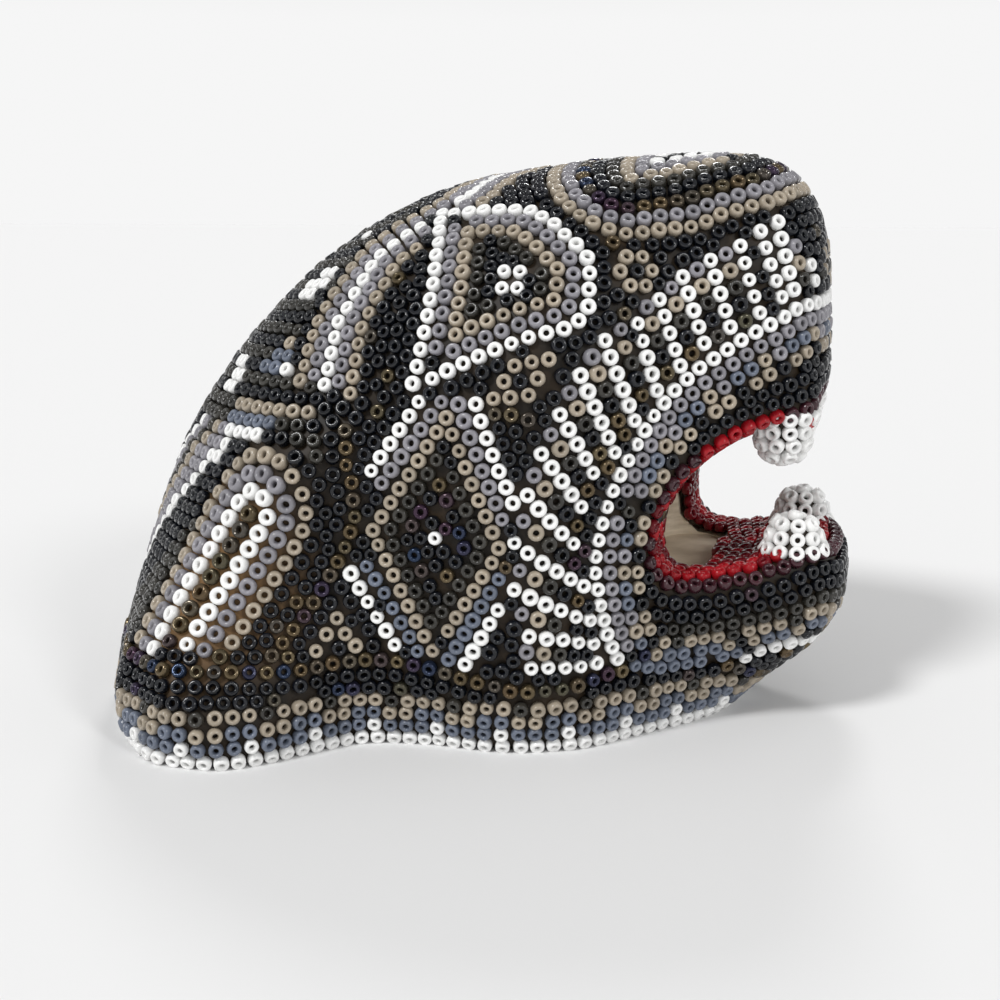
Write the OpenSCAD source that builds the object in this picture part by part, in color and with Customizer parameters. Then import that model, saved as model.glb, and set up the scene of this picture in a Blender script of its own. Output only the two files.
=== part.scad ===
// Beaded big cat head: a carved wooden head under a coat of beeswax, with glass
// seed beads pressed into the wax in motifs, and four pegged fangs in an open mouth.
// +X points out of the mouth, +Z is up, and the base rests on z = 0. Sizes in mm.

/* [Layers] */
// Height that the beads stand above the wax
bead_rise = 1.1; // [0.8:0.1:1.4]
// Thickness of the beeswax coat
wax_t = 1.0; // [0.6:0.1:1.4]

/* [Head] */
// Half width of the head at the cheeks
cheek_w = 34; // [32:1:36]
// Height of the ear ridge above the side of the head
ear_rise = 5; // [3:0.5:6]
// How far the ruff flares at the back corners of the base
ruff_rise = 18; // [14:0.5:20]

/* [Mouth] */
// Half width of the bare wood at the back of the mouth
throat_w = 13.5; // [12:0.5:16]
// Radius of the fangs at the jaw, over their beads
fang_r = 4.8; // [4.4:0.1:5]
// Distance of the fangs from the middle plane
fang_y = 9.2; // [9:0.1:10]

/* [Hidden] */
steps_round = 44;
steps_across = 22;
far = 80;
skin_t = bead_rise + wax_t;
$fn = 40;

// Moves the side views along x, so that the middle of the head is at x = 0, and up,
// so that its base is at z = 0
shift = 1.51;
foot = 1.5;

// Colours, each near the middle of what the beads of a field add up to
wood = [0.62, 0.50, 0.36];
wax = [0.55, 0.40, 0.20];
white_beads = [0.88, 0.87, 0.84];
grey_beads = [0.50, 0.49, 0.50];
beige_beads = [0.66, 0.61, 0.53];
dark_beads = [0.10, 0.10, 0.11];
red_beads = [0.62, 0.04, 0.06];

// Centre of the side view, from which the outline is seen whole
middle = [0, 30];

// Outline of the head in its middle plane, over the beads, with the mouth closed
outline = [
    [30, -6], [40, 3.5], [46, 8.5], [49.8, 15], [49.4, 23], [47.6, 32], [46.3, 42],
    [46, 51], [45.7, 58], [44.3, 66], [40, 72], [33, 74.2], [20, 73.8],
    [6, 72.4], [-7, 69.6], [-19, 63.6], [-30, 54.6], [-39.5, 43], [-46.5, 30.5],
    [-51, 17], [-53, 4], [-50, -8], [-35, -15], [-10, -16], [15, -13],
];

// Half width of the head along x, as a share of cheek_w
widths = [
    [-60, 0.80], [-52, 0.88], [-40, 1.0], [-30, 1.03], [-20, 1.02], [-8, 1.0],
    [4, 1.0], [12, 0.98], [18, 0.90], [24, 0.76], [29, 0.66], [35, 0.61],
    [41, 0.58], [47, 0.54], [56, 0.48],
];

// Exponent of the cross-sections by their direction from the middle, in degrees:
// 2 is an ellipse and more is boxier
squareness = [
    [-180, 2.8], [-140, 3.6], [-90, 4.2], [-40, 4.0], [0, 4.0], [35, 3.6],
    [60, 2.6], [90, 2.4], [130, 2.4], [180, 2.8],
];

function catmull(a, b, c, d, t) =
    0.5 * (2 * b + (c - a) * t + (2 * a - 5 * b + 4 * c - d) * t * t
        + (3 * b - a - 3 * c + d) * t * t * t);

// Point at t from 0 to 1 on the smooth closed curve through pts
function closed_curve(pts, t) =
    let (n = len(pts), s = t * n, i = floor(s))
    catmull(pts[(i - 1 + n) % n], pts[i % n], pts[(i + 1) % n], pts[(i + 2) % n], s - i);

// Smooth value at x in a table of [x, value]
function smooth_lookup(table, x, i = 0) =
    i >= len(table) - 2 || x < table[i + 1][0]
    ? let (
        a = table[max(i - 1, 0)], b = table[i], c = table[i + 1],
        d = table[min(i + 2, len(table) - 1)],
        t = min(max((x - b[0]) / (c[0] - b[0]), 0), 1)
    ) catmull(a[1], b[1], c[1], d[1], t)
    : smooth_lookup(table, x, i + 1);

function segment_distance(p, a, b) =
    let (ab = b - a, t = min(max((p - a) * ab / (ab * ab), 0), 1))
    norm(p - a - t * ab);

function swell(height, distance, reach) = height * exp(-pow(distance / reach, 2));

// Ends of the ear ridge, and middles of the ruff and of the hollows before and
// under the cheek, in side view
ear_top = [-19, 34];
ear_foot = [-37, 9];
ruff = [-28, -2];
neck_hollow = [-9, -1];
chin_hollow = [37, 2];

// Half width at a point of the side view, with the ear and the ruff on it
function half_width(p) =
    cheek_w * smooth_lookup(widths, p[0])
    + swell(ear_rise, segment_distance(p, ear_top, ear_foot), 7.5)
    + swell(ruff_rise, norm(p - ruff), 15)
    - swell(5, norm(p - neck_hollow), 9)
    - swell(5, norm(p - chin_hollow), 11);

// Where the ruff trails back, in top view, and how much of it is felt at a height
ruff_tail = [-48, 36];
function low(z) = exp(-pow(max(z, 0) / 13, 2));

// Grid of points over the head, its surface moved out by grow
function head_points(grow) = [
    for (i = [0 : steps_round - 1])
        let (
            t = i / steps_round,
            s = closed_curve(outline, t),
            along = closed_curve(outline, t + 0.002) - closed_curve(outline, t + 0.998),
            rim = s + grow * [along[1], -along[0]] / norm(along),
            out = rim - middle,
            n = smooth_lookup(squareness, atan2(out[1], out[0]))
        )
        for (j = [1 : steps_across - 1])
            let (
                a = -90 + 180 * j / steps_across,
                k = pow(pow(abs(cos(a)), n) + pow(abs(sin(a)), n), -1 / n),
                p = middle + k * cos(a) * out
            )
            let (y = k * sin(a) * (half_width(p) + grow))
            [
                p[0] + shift - swell(3, norm([p[0], abs(y)] - ruff_tail), 16) * low(p[1]),
                y, p[1] + foot,
            ],
    for (side = [-1, 1])
        [middle[0] + shift, side * (half_width(middle) + grow), middle[1] + foot],
];

function at(i, j) = (i % steps_round) * (steps_across - 1) + j;

// Faces of that grid, with their diagonals alike on both sides of the middle plane
head_faces = [
    for (i = [0 : steps_round - 1])
        for (j = [0 : steps_across - 3])
            let (a = at(i, j), b = at(i, j + 1), c = at(i + 1, j + 1), d = at(i + 1, j))
            each j < steps_across / 2 - 1 ? [[b, a, c], [c, a, d]] : [[b, a, d], [c, b, d]],
    for (i = [0 : steps_round - 1]) [at(i + 1, 0), at(i, 0), steps_round * (steps_across - 1)],
    for (i = [0 : steps_round - 1])
        [at(i, steps_across - 2), at(i + 1, steps_across - 2), steps_round * (steps_across - 1) + 1],
];

// Side view of the open mouth, over the beads
mouth = [
    [60, 47], [46, 42.6], [40.7, 40], [36.4, 38.2], [32.5, 35.9], [29, 32.5], [27, 29],
    [26.3, 25.4], [26.6, 22.4], [28, 20.8], [32, 20.6], [37, 21.5], [42, 22.6],
    [48.2, 23.3], [60, 25],
];

// Side views of the bead fields, which meet edge to edge over the head
band_top = 9.5;
band_front = 38;
eye_field = [
    [-3.3, 66.9], [-1.6, 56], [-3, 45], [10, 50.3], [18, 53], [19.2, 56], [18.5, 62.5],
    [11.5, 68], [4, 67.9],
];
muzzle_under = [
    [12, 69.8], [18.3, 64.8], [23.2, 63], [30.2, 63], [36, 64.5], [38.5, 65.6],
];
whisker_tips = [
    [38.5, 65.6], [33.3, 62.5], [29.4, 59.5], [25.8, 57], [20.3, 51.8], [17.7, 48.4],
    [15.7, 43.5], [13, 36], [12.2, 28], [12, 20], [12, band_top],
];
mouth_ring = [
    [22.5, band_top], [21.4, 16], [20.3, 24.2], [21.2, 35.6], [24.3, 43], [28.7, 47.2],
    [35.5, 53.9], [41.3, 56], [60, 56.6],
];
cheek_back = [
    [1.5, 44.8], [-6, 41], [-10, 31.5], [-12, 21.5], [-8, 14], [-4, band_top],
];
temple_back = [
    [-13, band_top], [-16, 14], [-14.5, 26], [-13, 36], [-17, 42], [-14, 50], [-10, 56],
    [-8, 62], [-9, 90],
];
ear_back = [
    [-13, 36], [-20.2, 37], [-24.8, 33.5], [-28.5, 28.5], [-32.5, 22.5], [-36.5, 16],
    [-40, band_top],
];
poll_bottom = 43.3;

function reverse(pts) = [for (i = [len(pts) - 1 : -1 : 0]) pts[i]];

// Outline pts moved out by g, each point along the turn of its neighbours
function grown(pts, g) = [
    for (i = [0 : len(pts) - 1])
        let (
            n = len(pts),
            before = pts[(i - 1 + n) % n],
            after = pts[(i + 1) % n],
            along = (after - before) / norm(after - before)
        )
        pts[i] + g * [along[1], -along[0]],
];

module head(grow) {
    difference() {
        polyhedron(head_points(grow), head_faces, convexity = 6);
        translate([-100, -100, -50]) cube([200, 200, 50]);
    }
}

// Side view pts carried across from y = from to y = to
module across(pts, from = -far, to = far) {
    translate([shift, to, foot]) rotate([90, 0, 0]) linear_extrude(to - from) polygon(pts);
}

module mouth_space(grow) {
    across(grown(mouth, grow));
}

// The back of the mouth, where the wood is left bare
module throat() {
    hull() for (side = [-1, 1])
        translate([27.5 + shift, side * (throat_w - 5), 18.5 + foot]) cylinder(r = 5, h = 11.1);
}

module bead_layer() {
    difference() {
        head(0);
        head(-bead_rise);
        mouth_space(bead_rise);
        fang_room(0, 1);
    }
}

// Part of the bead layer inside the side view pts, on both sides of the head
module field(pts) {
    intersection() {
        bead_layer();
        across(pts);
    }
}

// Part of the bead layer inside the side view pts on one side, -1 right or 1 left
module side_field(pts, side) {
    intersection() {
        bead_layer();
        if (side > 0) across(pts, 0, far);
        else across(pts, -far, 0);
    }
}

module wood_core() {
    color(wood) difference() {
        head(-skin_t);
        mouth_space(skin_t);
        throat();
        fang_room(bead_rise, fang_root);
    }
}

module wax_coat() {
    color(wax) difference() {
        head(-bead_rise);
        head(-skin_t);
        mouth_space(bead_rise);
        fang_room(bead_rise, fang_root);
    }
}

module mouth_wax() {
    color(wax) difference() {
        intersection() {
            head(-skin_t);
            mouth_space(skin_t);
        }
        mouth_space(bead_rise);
        throat();
        fang_room(bead_rise, fang_root);
    }
}

// Bead layer lining the mouth, inside the side view pts
module lining(pts, from = -far, to = far) {
    color(red_beads) difference() {
        intersection() {
            head(0);
            mouth_space(bead_rise);
            across(pts, from, to);
        }
        mouth_space(0);
        throat();
        fang_room(0, 1);
    }
}

palate_bottom = 30;
floor_top = 22;
module palate_beads() {
    lining([[0, palate_bottom], [far, palate_bottom], [far, far], [0, far]]);
}

module mouth_floor_beads() {
    lining([[0, 0], [far, 0], [far, 30], [29, floor_top], [0, floor_top]]);
}

module mouth_corner(side) {
    corner = [[0, floor_top], [29, floor_top], [32, palate_bottom], [0, palate_bottom]];
    if (side > 0) lining(corner, 12, far);
    else lining(corner, -far, -12);
}

module mouth_corner_beads_left() mouth_corner(1);
module mouth_corner_beads_right() mouth_corner(-1);

// Where the fangs stand in the jaws and how far they reach, and how far a root goes in
upper_fang = [40.8, 41];
lower_fang = [42.9, 22.3];
upper_reach = 7.2;
lower_reach = 5.6;
fang_root = 4;

// Round tapering peg with a rounded end, standing up from z = -root
module peg(r, reach, root) {
    tip = r * 0.74;
    rotate_extrude() polygon([
        [0, -root], [r, -root], [r, 0],
        for (a = [0 : 10 : 80]) [tip * cos(a), reach - tip + tip * sin(a)],
        [0, reach],
    ]);
}

// Room for the fangs in what lies around them, narrowed by inset
module fang_room(inset, depth) {
    for (up = [-1, 1], side = [-1, 1])
        fang_place(up, side)
            translate([0, 0, -depth]) cylinder(r = fang_r - inset, h = depth + 2);
}

module fang_place(up, side) {
    at = up > 0 ? upper_fang : lower_fang;
    translate([at[0] + shift, side * fang_y, at[1] + foot])
        rotate([up > 0 ? 180 : 0, 0, 0]) children();
}

function fang_reach(up) = up > 0 ? upper_reach : lower_reach;

module fang_peg(up, side) {
    color(wax) fang_place(up, side)
        peg(fang_r - bead_rise, fang_reach(up) - bead_rise, fang_root);
}

module fang_beads(up, side) {
    color(white_beads) fang_place(up, side) difference() {
        peg(fang_r, fang_reach(up), 0);
        translate([0, 0, -0.01])
            peg(fang_r - bead_rise, fang_reach(up) - bead_rise + 0.01, 0.01);
    }
}

module fang_peg_upper_left() fang_peg(1, 1);
module fang_peg_upper_right() fang_peg(1, -1);
module fang_peg_lower_left() fang_peg(-1, 1);
module fang_peg_lower_right() fang_peg(-1, -1);
module fang_beads_upper_left() fang_beads(1, 1);
module fang_beads_upper_right() fang_beads(1, -1);
module fang_beads_lower_left() fang_beads(-1, 1);
module fang_beads_lower_right() fang_beads(-1, -1);

module muzzle_beads() {
    color(grey_beads) field(concat([[12, 90]], muzzle_under, [[42, 70], [42, 90]]));
}

module nose_beads() {
    color(dark_beads) field([[42, 90], [42, 70], [38.5, 65.6], [41.3, 56], [60, 56.6], [60, 90]]);
}

module crown_beads() {
    color(dark_beads) field([[12, 90], [12, 69.8], [11.5, 68], [4, 67.9], [-3.3, 66.9], [-9, 90]]);
}

module poll_beads() {
    color(dark_beads) field([
        [-9, 90], [-8, 62], [-10, 56], [-14, 50], [-16.4, poll_bottom], [-90, poll_bottom],
        [-90, 90],
    ]);
}

module nape_beads() {
    color(grey_beads) field(concat(
        [[-16.4, poll_bottom], [-17, 42]], ear_back, [[-90, band_top], [-90, poll_bottom]]
    ));
}

module upper_lip_beads() {
    color(dark_beads) field(concat(
        [[20.5, 26], [30, 26], [60, 36]], reverse([for (p = mouth_ring) if (p[1] > 26) p])
    ));
}

module lower_jaw_beads() {
    color(dark_beads) field(concat(
        [[60, 36], [30, 26], [20.5, 26]], reverse([for (p = mouth_ring) if (p[1] < 26) p]),
        [[band_front, band_top], [band_front, -9], [60, -9]]
    ));
}

module base_band_beads() {
    color(dark_beads) field([[-90, -9], [band_front, -9], [band_front, band_top], [-90, band_top]]);
}

module eye_beads(side) color(white_beads) side_field(eye_field, side);
module eye_beads_left() eye_beads(1);
module eye_beads_right() eye_beads(-1);

module snout_beads(side) {
    color(dark_beads) side_field(concat(
        muzzle_under, [for (p = whisker_tips) if (p[1] > 48 && p[1] < 65) p],
        [[18, 53], [19.2, 56], [18.5, 62.5], [11.5, 68]]
    ), side);
}

module snout_beads_left() snout_beads(1);
module snout_beads_right() snout_beads(-1);

module under_eye_beads(side) {
    color(beige_beads) side_field([
        [-3, 45], [10, 50.3], [18, 53], [17.7, 48.4], [15.7, 43.5], [13, 36], [6.5, 44],
        [1.5, 44.8],
    ], side);
}

module under_eye_beads_left() under_eye_beads(1);
module under_eye_beads_right() under_eye_beads(-1);

module cheek_beads(side) {
    color(grey_beads) side_field(concat(
        cheek_back, reverse([for (p = whisker_tips) if (p[1] <= 36) p]), [[6.5, 44]]
    ), side);
}

module cheek_beads_left() cheek_beads(1);
module cheek_beads_right() cheek_beads(-1);

module whisker_beads(side) {
    color(white_beads) side_field(concat(
        whisker_tips, [for (p = mouth_ring) if (p[0] < 42) p]
    ), side);
}

module whisker_beads_left() whisker_beads(1);
module whisker_beads_right() whisker_beads(-1);

module temple_beads(side) {
    color(dark_beads) side_field(concat(
        [[-9, 90], [-3.3, 66.9], [-1.6, 56], [-3, 45]], cheek_back,
        temple_back
    ), side);
}

module temple_beads_left() temple_beads(1);
module temple_beads_right() temple_beads(-1);

module ear_beads(side) {
    color(white_beads) side_field(concat(
        [[-13, band_top], [-16, 14], [-14.5, 26]], ear_back
    ), side);
}

module ear_beads_left() ear_beads(1);
module ear_beads_right() ear_beads(-1);

wood_core();
wax_coat();
mouth_wax();
fang_peg_upper_left();
fang_peg_upper_right();
fang_peg_lower_left();
fang_peg_lower_right();
fang_beads_upper_left();
fang_beads_upper_right();
fang_beads_lower_left();
fang_beads_lower_right();
palate_beads();
mouth_floor_beads();
mouth_corner_beads_left();
mouth_corner_beads_right();
muzzle_beads();
nose_beads();
crown_beads();
poll_beads();
nape_beads();
upper_lip_beads();
lower_jaw_beads();
base_band_beads();
eye_beads_left();
eye_beads_right();
snout_beads_left();
snout_beads_right();
under_eye_beads_left();
under_eye_beads_right();
cheek_beads_left();
cheek_beads_right();
whisker_beads_left();
whisker_beads_right();
temple_beads_left();
temple_beads_right();
ear_beads_left();
ear_beads_right();
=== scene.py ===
"""A big cat's head in beadwork: glass seed beads pressed in rings and rows into
beeswax, over a carved wooden head. Design sizes are in millimetres of the nominal
head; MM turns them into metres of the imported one."""

import math
import random
from functools import partial

import bmesh
import bpy
import numpy as np
from mathutils import Matrix, Vector
from mathutils.bvhtree import BVHTree
from mathutils.kdtree import KDTree


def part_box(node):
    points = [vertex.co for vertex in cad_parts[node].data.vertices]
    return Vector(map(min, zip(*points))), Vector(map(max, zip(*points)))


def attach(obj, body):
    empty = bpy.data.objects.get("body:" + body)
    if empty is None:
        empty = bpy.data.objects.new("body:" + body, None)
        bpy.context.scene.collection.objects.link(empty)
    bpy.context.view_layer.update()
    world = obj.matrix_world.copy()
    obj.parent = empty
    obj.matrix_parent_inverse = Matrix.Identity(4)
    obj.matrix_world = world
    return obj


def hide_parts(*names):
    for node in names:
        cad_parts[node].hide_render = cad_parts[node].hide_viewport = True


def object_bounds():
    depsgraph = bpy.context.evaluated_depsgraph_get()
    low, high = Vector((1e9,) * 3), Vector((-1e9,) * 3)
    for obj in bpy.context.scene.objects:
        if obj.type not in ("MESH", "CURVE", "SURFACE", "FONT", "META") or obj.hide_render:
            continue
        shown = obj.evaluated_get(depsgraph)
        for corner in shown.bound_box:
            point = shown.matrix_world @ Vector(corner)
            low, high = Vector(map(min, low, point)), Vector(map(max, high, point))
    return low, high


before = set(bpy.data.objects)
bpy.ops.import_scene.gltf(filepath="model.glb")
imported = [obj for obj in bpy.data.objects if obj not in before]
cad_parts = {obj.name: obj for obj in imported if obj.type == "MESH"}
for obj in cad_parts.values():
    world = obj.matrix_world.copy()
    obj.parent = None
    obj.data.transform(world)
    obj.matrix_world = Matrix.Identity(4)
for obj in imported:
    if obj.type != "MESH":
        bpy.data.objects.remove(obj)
BOUNDS_AT_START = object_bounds()
random.seed(7)

# The nominal head is 103 mm long, and the design below is drawn on it.
NOMINAL_LENGTH = 103.03
MM = (BOUNDS_AT_START[1].x - BOUNDS_AT_START[0].x) / NOMINAL_LENGTH

# Seed beads: width, spacing along a row, and spacing of rows that nest.
BEAD_W = 2.1
PITCH = 2.12
ROW = 1.88
BEAD_H = 1.45
HOLE_W = 0.7
BEAD_UP = 0.42  # middle of a bead above the wax
LARGEST_PIECE = 650  # a field with more beads than this is split into its two sides

# How near, in pitches, the beads of two rows may come before the later one is left out.
GAP = 0.84
RING_GAP = 0.82

# The side views of the design are drawn from a line this far above the base.
FOOT = 1.5

# The heights over the base of the lowest row, of the lowest beads of all, and of the
# lowest place for a bead between the rows.
EDGE_ROW, EDGE_LOWEST, EDGE_FILL = 1.1, 0.75, 0.9

# The point that the outlines of the base and the back are drawn round.
AXIS_X = -8

LEFT, RIGHT = 1, -1


# ---------------------------------------------------------------- the wax skin


def cad_copy(name, grow=0.0):
    """A copy of a CAD node's mesh, moved out along its normals by grow millimetres."""
    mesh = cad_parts[name].data.copy()
    copy = bpy.data.objects.new(name + "_copy", mesh)
    bpy.context.scene.collection.objects.link(copy)
    if grow:
        weld = copy.modifiers.new("weld", "WELD")
        weld.merge_threshold = 0.01 * MM
        push = copy.modifiers.new("push", "DISPLACE")
        push.strength = grow * MM
        push.mid_level = 0
    return copy


def applied(obj):
    """Replaces an object's mesh with what its modifiers make of it."""
    graph = bpy.context.evaluated_depsgraph_get()
    mesh = bpy.data.meshes.new_from_object(obj.evaluated_get(graph))
    obj.modifiers.clear()
    obj.data = mesh
    return obj


def make_skin():
    """The wax as one smooth surface, with the flat marks of the CAD facets worked out."""
    parts = [
        applied(cad_copy("wood_core", 0.5)),
        cad_copy("wax_coat"),
        cad_copy("mouth_wax"),
    ] + [cad_copy(name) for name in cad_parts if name.startswith("fang_peg")]
    with bpy.context.temp_override(
        active_object=parts[0], selected_editable_objects=parts, selected_objects=parts
    ):
        bpy.ops.object.join()
    skin = parts[0]
    skin.name = "wax_skin"
    remesh = skin.modifiers.new("remesh", "REMESH")
    remesh.mode = "VOXEL"
    remesh.voxel_size = 0.8 * MM
    smooth = skin.modifiers.new("smooth", "SMOOTH")
    smooth.factor = 0.5
    smooth.iterations = 24
    applied(skin)
    for vertex in skin.data.vertices:
        vertex.co.z = max(vertex.co.z, 0.0)
    skin.data.shade_smooth()
    return skin


skin = make_skin()
skin_points = [v.co / MM for v in skin.data.vertices]
skin_tree = BVHTree.FromPolygons(
    skin_points, [tuple(p.vertices) for p in skin.data.polygons]
)

# The CAD layers that stand for beads, fangs apart.
FIELDS = [
    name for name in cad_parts
    if "beads" in name and not name.startswith("fang_beads")
]
FIELD_TREES = {
    name: BVHTree.FromPolygons(
        [v.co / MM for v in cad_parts[name].data.vertices],
        [tuple(p.vertices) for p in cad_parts[name].data.polygons],
    )
    for name in FIELDS
}
LINING = {
    "palate_beads", "mouth_floor_beads", "mouth_corner_beads_left",
    "mouth_corner_beads_right",
}


def field_of(p, n):
    """The CAD bead field that holds a bead at a point of the skin."""
    middle = p + n * 0.5  # about the middle of the CAD layer
    return min(FIELDS, key=lambda name: FIELD_TREES[name].find_nearest(middle)[3])


def cover_tree():
    """The outside of the head over its beads, as the side views see it."""
    points, faces = [], []
    for name in FIELDS:
        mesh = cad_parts[name].data
        first = len(points)
        points += [v.co / MM for v in mesh.vertices]
        faces += [tuple(first + i for i in p.vertices) for p in mesh.polygons]
    return BVHTree.FromPolygons(points, faces)


cover = cover_tree()

# The hollow at the back of the mouth is bare wood: x before, |y| under, z between.
THROAT_X, THROAT_Y, THROAT_Z = 33.7, 13.2, (19.8, 31.2)


def in_throat(p):
    return (
        15 < p.x < THROAT_X
        and abs(p.y) < THROAT_Y
        and THROAT_Z[0] < p.z < THROAT_Z[1]
    )


def fang_axes():
    """For each fang: the middle of its root in x and y, where it starts, and its way."""
    found = []
    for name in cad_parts:
        if name.startswith("fang_beads"):
            low, high = (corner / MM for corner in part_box(name))
            way = 1 if "lower" in name else -1
            middle = (low + high) / 2
            found.append((middle.x, middle.y, low.z if way > 0 else high.z, way))
    return found


FANGS = fang_axes()


FANG_CLEAR, FANG_REACH = 4.9, (0.5, 9)  # no other bead this near a fang's axis


def on_fang(p):
    return any(
        math.hypot(p.x - x, p.y - y) < FANG_CLEAR
        and FANG_REACH[0] < way * (p.z - root) < FANG_REACH[1]
        for x, y, root, way in FANGS
    )


def snap(p):
    """The nearest point of the skin and its normal there."""
    location, normal, _, _ = skin_tree.find_nearest(p)
    return location, normal


# ------------------------------------------------------------- laying the beads


class Layout:
    """Beads on the skin, with a grid of cells to find their neighbours."""

    def __init__(self):
        self.places, self.normals, self.colours = [], [], []
        self.scales = []  # made once every bead is in its place
        self.large = set()  # which beads are large, as those of the ears are
        self.cells = {}

    def cell(self, p):
        return (int(p.x // PITCH), int(p.y // PITCH), int(p.z // PITCH))

    def near(self, p, reach):
        """The beads within reach of a point."""
        cx, cy, cz = self.cell(p)
        wide = int(math.ceil(reach / PITCH))
        span = range(-wide, wide + 1)
        found = []
        for x in span:
            for y in span:
                for z in span:
                    for i in self.cells.get((cx + x, cy + y, cz + z), ()):
                        if (self.places[i] - p).length < reach:
                            found.append(i)
        return found

    def reindex(self):
        self.cells = {}
        for i, p in enumerate(self.places):
            self.cells.setdefault(self.cell(p), []).append(i)

    def add(self, p, n, colour, gap=0.9):
        """Lays a bead, unless another is nearer than gap pitches."""
        if p.z < EDGE_LOWEST or in_throat(p) or on_fang(p):
            return
        if self.near(p, gap * PITCH):
            return
        self.cells.setdefault(self.cell(p), []).append(len(self.places))
        self.places.append(p.copy())
        self.normals.append(n.copy())
        self.colours.append(colour)


beads = Layout()


def dense(points, step=0.4, closed=False):
    """Points every step millimetres along a path."""
    pairs = list(zip(points, points[1:] + points[:1] if closed else points[1:]))
    out = []
    for a, b in pairs:
        count = max(1, int(math.ceil((b - a).length / step)))
        out += [a.lerp(b, i / count) for i in range(count)]
    return out if closed else out + [points[-1]]


def from_side(points, side, closed=False):
    """Side view points (x, z) as a path on one side of the skin."""
    flat = dense([Vector((x, 0.0, z + FOOT)) for x, z in points], closed=closed)
    path = []
    for p in flat:
        hit = cover.ray_cast(Vector((p.x, side * 90, p.z)), Vector((0, -side, 0)))
        spot = hit[0] if hit[0] else Vector((p.x, side * 3, p.z))
        path.append(snap(spot)[0])
    return path


def spot_from_side(x, z, side):
    """One point of the side view as a place on the skin, with its normal."""
    return snap(from_side([(x, z)], side)[0])


def through(points, side):
    """Points (x, y, z), drawn for the right side, as a path on the skin."""
    path = [Vector((x, -side * y, z + FOOT)) for x, y, z in points]
    return [snap(p)[0] for p in dense(path)]


def both_ways(points):
    """A path over the right side, carried on over its mirror image on the left."""
    half = [Vector((x, y, z + FOOT)) for x, y, z in reversed(points)]
    whole = half + [Vector((p.x, -p.y, p.z)) for p in reversed(half)]
    return [snap(p)[0] for p in dense(whole)]


def length_of(path, closed=False):
    ends = path[1:] + path[:1] if closed else path[1:]
    return sum((b - a).length for a, b in zip(path, ends))


def middle_of(path):
    """How far along a path it crosses the middle plane of the head."""
    nearest, travelled, found = 1e9, 0.0, 0.0
    for a, b in zip(path, path[1:]):
        if abs(a.y) < nearest:
            nearest, found = abs(a.y), travelled
        travelled += (b - a).length
    return found


def row(path, colours, closed=False, start=0.0, gap=0.9, pitch=PITCH):
    """Lays beads one against the next along a path. The colours repeat along it, or
    are a function of how many beads away the middle plane is."""
    if len(path) < 2:
        return
    total = length_of(path, closed)
    count = max(1, round(total / pitch))
    step = total / count if closed else pitch
    middle = middle_of(path) if callable(colours) else 0
    travelled, target, index = 0.0, start * pitch, 0
    ends = path[1:] + path[:1] if closed else path[1:]
    for a, b in zip(path, ends):
        span = (b - a).length
        while span and target <= travelled + span and index < count + 1 - closed:
            p, n = snap(a.lerp(b, (target - travelled) / span))
            if callable(colours):
                colour = colours(abs(target - middle) / pitch)
            else:
                colour = colours[index % len(colours)]
            beads.add(p, n, colour, gap)
            index += 1
            target += step
        travelled += span


def tangents(path, closed):
    count = len(path)
    reach = 4
    out = []
    for i in range(count):
        if closed:
            a, b = path[(i - reach) % count], path[(i + reach) % count]
        else:
            a, b = path[max(i - reach, 0)], path[min(i + reach, count - 1)]
        out.append((b - a).normalized())
    return out


def walk(p, way, away):
    """The point that lies a distance away over the skin, setting off in a direction."""
    longest = 0.8
    spot, normal = snap(p)
    steps = max(1, int(math.ceil(away / longest)))
    for _ in range(steps):
        way = (way - normal * way.dot(normal)).normalized()
        spot, normal = snap(spot + way * (away / steps))
    return spot


def offset(path, away, closed=False):
    """The path moved over the skin by a distance, to its left seen from outside."""
    if not away:
        return path
    tree = KDTree(len(path))
    for i, p in enumerate(path):
        tree.insert(p, i)
    tree.balance()
    turn = 1 if away > 0 else -1
    moved = []
    for p, along in zip(path, tangents(path, closed)):
        spot = walk(p, snap(p)[1].cross(along) * turn, abs(away))
        if tree.find(spot)[2] > abs(away) * 0.93:  # not inside a bend of the path
            moved.append(spot)
    if len(moved) < 3:
        return []
    return smoothed(moved, closed)


def loop(path, away):
    """A line round the far end of a path, at a distance from it on both sides."""
    ways = tangents(path, False)
    sides = [snap(p)[1].cross(way) for p, way in zip(path, ways)]
    one = [walk(p, side, away) for p, side in zip(path, sides)]
    other = [walk(p, -side, away) for p, side in zip(path, sides)]
    turns = [math.pi * i / 10 for i in range(1, 10)]
    cap = [walk(path[-1], sides[-1] * math.cos(a) + ways[-1] * math.sin(a), away) for a in turns]
    return smoothed(one + cap + other[::-1], False)


def smoothed(path, closed):
    """Evens a path out, and bridges the places where corners were cut."""
    path = dense(path, closed=closed)
    count = len(path)
    out = []
    for i in range(count):
        if closed or 2 <= i < count - 2:
            window = [path[(i + k) % count] for k in range(-2, 3)]
            out.append(sum(window, Vector()) / 5)
        else:
            out.append(path[i])
    return out


def rings(path, colours, closed=True, first=0, sign=1):
    """Rows inside one another, from the path on, with a colour, a list of them or a
    function for each."""
    for k, names in enumerate(colours, start=first):
        names = [names] if isinstance(names, str) else names
        ring = offset(path, sign * k * ROW, closed)
        row(ring, names, closed, start=0.5 * (k % 2), gap=RING_GAP)


def inner_sign(path, side):
    """Which way is in for a closed path on one side of the head, drawn by from_side."""
    area = sum(
        a.x * b.z - b.x * a.z for a, b in zip(path, path[1:] + path[:1])
    )
    return (1 if area > 0 else -1) * (1 if side == RIGHT else -1)


# ---------------------------------------------------------------- the design

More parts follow.
